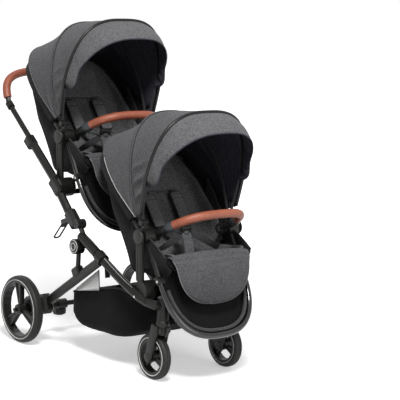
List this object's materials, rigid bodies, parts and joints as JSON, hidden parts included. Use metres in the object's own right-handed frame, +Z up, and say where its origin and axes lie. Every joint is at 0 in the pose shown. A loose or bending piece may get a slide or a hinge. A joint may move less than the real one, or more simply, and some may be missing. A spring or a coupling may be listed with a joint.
{
  "type": "double pram",
  "caption": "Tandem pram with a raised rear seat and a low front seat, each with a hood, bumper bar and footrest, on a folding frame with a basket below.",
  "frame": {"origin": "on the ground under the middle of the pram's box", "axes": "the pram drives towards -Y, +Z up, the pram's right side is -X"},
  "size_m": [0.628, 1.0684, 1.1971],
  "materials": {
    "frame": "matt black",
    "gloss": "gloss black",
    "moulding": "satin black",
    "tyre": "matt",
    "leather": "brown, satin",
    "hood_cloth": "charcoal melange weave",
    "seat_cloth": "dark grey",
    "basket_cloth": "black"
  },
  "bodies": {
    "chassis": {"side_tube_right": "frame", "side_tube_left": "frame", "rear_leg_right": "frame", "rear_leg_left": "frame", "strut_right": "frame", "strut_left": "frame", "front_cross_tube": "frame", "rear_axle_tube": "frame", "basket": "basket_cloth", "front_bracket_right": "frame", "front_bracket_left": "frame"},
    "upper_frame": {"upper_tube_right": "frame", "upper_tube_left": "frame", "fold_housing_right": "moulding", "fold_housing_left": "moulding", "middle_cross_tube": "frame", "rear_bracket_right": "frame", "rear_bracket_left": "frame"},
    "handle": {"handle_bar": "frame", "handle_grip": "leather"},
    "brake": {"brake_pedal": "moulding"},
    "rear_wheel_right": {"rear_rim_right": "moulding", "rear_tyre_right": "tyre"},
    "front_swivel_right": {"front_fork_right": "moulding"},
    "front_wheel_right": {"front_rim_right": "moulding", "front_tyre_right": "tyre"},
    "button_right": {"adjuster_button_right": "moulding"},
    "fold_lever_right": {"fold_lever_right": "moulding"},
    "rear_wheel_left": {"rear_rim_left": "moulding", "rear_tyre_left": "tyre"},
    "front_swivel_left": {"front_fork_left": "moulding"},
    "front_wheel_left": {"front_rim_left": "moulding", "front_tyre_left": "tyre"},
    "button_left": {"adjuster_button_left": "moulding"},
    "fold_lever_left": {"fold_lever_left": "moulding"},
    "front_seat": {"front_seat_frame": "frame", "front_seat_liner": "seat_cloth", "front_headrest": "seat_cloth", "front_harness": "seat_cloth", "front_hood": "hood_cloth"},
    "front_calf_rest": {"front_calf_pad": "hood_cloth"},
    "front_foot_rest": {"front_foot_frame": "gloss", "front_foot_pocket": "seat_cloth"},
    "front_bumper": {"front_bumper_bar": "leather"},
    "front_hood_front": {"front_front_bow": "moulding", "front_visor": "hood_cloth"},
    "front_hood_middle": {"front_middle_bow": "moulding"},
    "rear_seat": {"rear_seat_frame": "frame", "rear_seat_liner": "seat_cloth", "rear_headrest": "seat_cloth", "rear_harness": "seat_cloth", "rear_hood": "hood_cloth"},
    "rear_calf_rest": {"rear_calf_pad": "hood_cloth"},
    "rear_foot_rest": {"rear_foot_frame": "gloss", "rear_foot_pocket": "seat_cloth"},
    "rear_bumper": {"rear_bumper_bar": "leather"},
    "rear_hood_front": {"rear_front_bow": "moulding", "rear_visor": "hood_cloth"},
    "rear_hood_middle": {"rear_middle_bow": "moulding"}
  },
  "joints": [
    {"name": "frame_fold", "type": "hinge", "parent": "chassis", "child": "upper_frame", "pos_m": [0, -0.01638, 0.488], "axis": [1, 0, 0], "range_deg": [0, 8]},
    {"name": "handle_slide", "type": "slide", "parent": "upper_frame", "child": "handle", "axis": [0, 0.7861, 0.6181], "range_m": [0, 0.12]},
    {"name": "brake_turn", "type": "hinge", "parent": "chassis", "child": "brake", "pos_m": [0, 0.27962, 0.125], "axis": [1, 0, 0], "range_deg": [-25, 0]},
    {"name": "rear_wheel_spin_right", "type": "hinge", "parent": "chassis", "child": "rear_wheel_right", "pos_m": [-0.28, 0.27962, 0.125], "axis": [1, 0, 0], "continuous": true},
    {"name": "front_swivel_turn_right", "type": "hinge", "parent": "chassis", "child": "front_swivel_right", "pos_m": [-0.159, -0.40738, 0.216], "axis": [0, 0, 1], "continuous": true},
    {"name": "front_wheel_spin_right", "type": "hinge", "parent": "front_swivel_right", "child": "front_wheel_right", "pos_m": [-0.159, -0.36738, 0.08], "axis": [1, 0, 0], "continuous": true},
    {"name": "button_press_right", "type": "slide", "parent": "upper_frame", "child": "button_right", "axis": [0, -0.6181, 0.7861], "range_m": [0, 0.0025], "stiffness_N_per_m": 300},
    {"name": "fold_lever_pull_right", "type": "hinge", "parent": "upper_frame", "child": "fold_lever_right", "pos_m": [-0.235, 0.06762, 0.484], "axis": [1, 0, 0], "range_deg": [0, 20], "stiffness_Nm_per_rad": 0.6},
    {"name": "rear_wheel_spin_left", "type": "hinge", "parent": "chassis", "child": "rear_wheel_left", "pos_m": [0.28, 0.27962, 0.125], "axis": [1, 0, 0], "continuous": true},
    {"name": "front_swivel_turn_left", "type": "hinge", "parent": "chassis", "child": "front_swivel_left", "pos_m": [0.159, -0.40738, 0.216], "axis": [0, 0, 1], "continuous": true},
    {"name": "front_wheel_spin_left", "type": "hinge", "parent": "front_swivel_left", "child": "front_wheel_left", "pos_m": [0.159, -0.36738, 0.08], "axis": [1, 0, 0], "continuous": true},
    {"name": "button_press_left", "type": "slide", "parent": "upper_frame", "child": "button_left", "axis": [0, -0.6181, 0.7861], "range_m": [0, 0.0025], "stiffness_N_per_m": 300},
    {"name": "fold_lever_pull_left", "type": "hinge", "parent": "upper_frame", "child": "fold_lever_left", "pos_m": [0.235, 0.06762, 0.484], "axis": [1, 0, 0], "range_deg": [0, 20], "stiffness_Nm_per_rad": 0.6},
    {"name": "front_seat_tilt", "type": "hinge", "parent": "chassis", "child": "front_seat", "pos_m": [0, -0.33538, 0.492], "axis": [1, 0, 0], "range_deg": [-3, 3]},
    {"name": "front_foot_rest_tilt", "type": "hinge", "parent": "front_seat", "child": "front_foot_rest", "pos_m": [0, -0.41538, 0.351], "axis": [1, 0, 0], "range_deg": [-30, 0]},
    {"name": "front_calf_rest_swing", "type": "hinge", "parent": "front_seat", "child": "front_calf_rest", "pos_m": [0, -0.45638, 0.417], "axis": [1, 0, 0], "range_deg": [-30.5, 0.5]},
    {"name": "front_bumper_swing", "type": "hinge", "parent": "front_seat", "child": "front_bumper", "pos_m": [0, -0.33538, 0.492], "axis": [1, 0, 0], "range_deg": [-30, 20]},
    {"name": "front_hood_fold", "type": "hinge", "parent": "front_seat", "child": "front_hood_front", "pos_m": [0, -0.32738, 0.537], "axis": [1, 0, 0], "range_deg": [-45, 0], "deforming": ["front_hood"]},
    {"name": "front_hood_middle_fold", "type": "hinge", "parent": "front_seat", "child": "front_hood_middle", "pos_m": [0, -0.32738, 0.537], "axis": [1, 0, 0], "range_deg": [-20.75, 0.5]},
    {"name": "rear_seat_tilt", "type": "hinge", "parent": "upper_frame", "child": "rear_seat", "pos_m": [0, 0.15462, 0.778], "axis": [1, 0, 0], "range_deg": [-3, 6]},
    {"name": "rear_foot_rest_tilt", "type": "hinge", "parent": "rear_seat", "child": "rear_foot_rest", "pos_m": [0, 0.07462, 0.637], "axis": [1, 0, 0], "range_deg": [-16, 0]},
    {"name": "rear_calf_rest_swing", "type": "hinge", "parent": "rear_seat", "child": "rear_calf_rest", "pos_m": [0, 0.03362, 0.703], "axis": [1, 0, 0], "range_deg": [-16.5, 0.5]},
    {"name": "rear_bumper_swing", "type": "hinge", "parent": "rear_seat", "child": "rear_bumper", "pos_m": [0, 0.15462, 0.778], "axis": [1, 0, 0], "range_deg": [-30, 8]},
    {"name": "rear_hood_fold", "type": "hinge", "parent": "rear_seat", "child": "rear_hood_front", "pos_m": [0, 0.16262, 0.823], "axis": [1, 0, 0], "range_deg": [-45, 0], "deforming": ["rear_hood"]},
    {"name": "rear_hood_middle_fold", "type": "hinge", "parent": "rear_seat", "child": "rear_hood_middle", "pos_m": [0, 0.16262, 0.823], "axis": [1, 0, 0], "range_deg": [-20.75, 0.5]}
  ],
  "couplings": [
    {"joint": "front_hood_middle_fold", "follows": "front_hood_fold", "ratio": 0.45},
    {"joint": "rear_hood_middle_fold", "follows": "rear_hood_fold", "ratio": 0.45},
    {"joint": "front_calf_rest_swing", "follows": "front_foot_rest_tilt", "ratio": 1},
    {"joint": "rear_calf_rest_swing", "follows": "rear_foot_rest_tilt", "ratio": 1}
  ]
}
